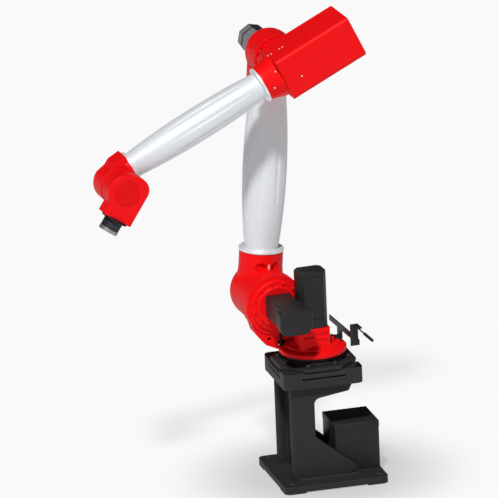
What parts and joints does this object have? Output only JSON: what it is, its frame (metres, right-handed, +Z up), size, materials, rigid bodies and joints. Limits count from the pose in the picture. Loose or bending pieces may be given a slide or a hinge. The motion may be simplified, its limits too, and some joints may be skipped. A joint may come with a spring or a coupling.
{
  "type": "industrial robot arm on pedestal",
  "caption": "Six-axis articulated robot arm with one-sided silver arms, red castings and black motors on a cast pedestal with a rear connection box.",
  "frame": {"origin": "middle of the foot's bolt pattern at floor level", "axes": "+X the way the arm reaches at rest, +Y the robot's left, +Z up"},
  "size_m": [1.3212, 1.0715, 2.2222],
  "materials": {
    "red_paint": "glossy signal red powder coat",
    "dark_red_cap": "darker red moulded cap",
    "silver_white_paint": "fine metallic silver white paint",
    "pale_ring": "pale satin machined ring",
    "black_castings": "charcoal painted casting",
    "black_sheet": "satin black sheet metal",
    "black_covers": "matt black motor covers and sheet",
    "grey_motor": "dark grey motor body",
    "black_seal": "black seal",
    "black_flange": "black oxide steel",
    "bright_steel": "machined steel"
  },
  "bodies": {
    "pedestal": {"foot_plate": "black_castings", "foot_pads": "black_castings", "column_cheek_left": "black_castings", "column_cheek_right": "black_castings", "column_core": "black_castings", "pedestal_head": "black_castings", "robot_base_plate": "black_castings", "swing_bearing": "black_castings", "connection_box": "black_sheet"},
    "turret": {"turret_disc": "red_paint", "shoulder_web": "red_paint", "shoulder_cover": "red_paint", "swing_motor_pad": "red_paint", "swing_motor_cover": "black_covers", "lift_motor": "black_covers", "lift_motor_cap": "black_covers", "cable_bracket": "black_covers", "bracket_post": "black_covers", "guide_rod": "black_covers"},
    "lower_arm": {"shoulder_casting": "red_paint", "lower_ring": "pale_ring", "lower_tube": "silver_white_paint", "upper_ring": "pale_ring", "elbow_casting": "red_paint", "elbow_motor": "grey_motor", "elbow_motor_cap": "black_covers"},
    "elbow": {"elbow_housing": "red_paint", "rear_cover": "red_paint"},
    "forearm": {"forearm_rear_ring": "pale_ring", "forearm_tube": "silver_white_paint", "forearm_front_ring": "pale_ring", "wrist_housing": "red_paint"},
    "wrist": {"wrist_body": "red_paint", "wrist_cap": "dark_red_cap", "wrist_seal": "black_seal"},
    "tool": {"tool_flange": "black_flange", "tool_face": "bright_steel"}
  },
  "joints": [
    {"name": "base_swing", "type": "hinge", "parent": "pedestal", "child": "turret", "pos_m": [0.028, 0, 0.6113], "axis": [0, 0, 1], "range_deg": [-170, 170]},
    {"name": "lower_arm_lift", "type": "hinge", "parent": "turret", "child": "lower_arm", "pos_m": [0.19422, -0.10505, 0.8406], "axis": [-0.061, 0.9981, 0], "range_deg": [-45, 70]},
    {"name": "forearm_lift", "type": "hinge", "parent": "lower_arm", "child": "elbow", "pos_m": [0.09879, -0.15597, 1.98799], "axis": [-0.061, 0.9981, 0], "range_deg": [-100, 35]},
    {"name": "forearm_roll", "type": "hinge", "parent": "elbow", "child": "forearm", "pos_m": [0.22438, 0.01201, 1.92389], "axis": [0.9024, 0.0552, -0.4274], "range_deg": [-180, 180]},
    {"name": "wrist_bend", "type": "hinge", "parent": "forearm", "child": "wrist", "pos_m": [0.93923, 0.13488, 1.54214], "axis": [-0.061, 0.9981, 0], "range_deg": [-125, 90]},
    {"name": "tool_roll", "type": "hinge", "parent": "wrist", "child": "tool", "pos_m": [0.99244, 0.18502, 1.41237], "axis": [0.5581, 0.0341, -0.829], "range_deg": [-360, 360]}
  ]
}
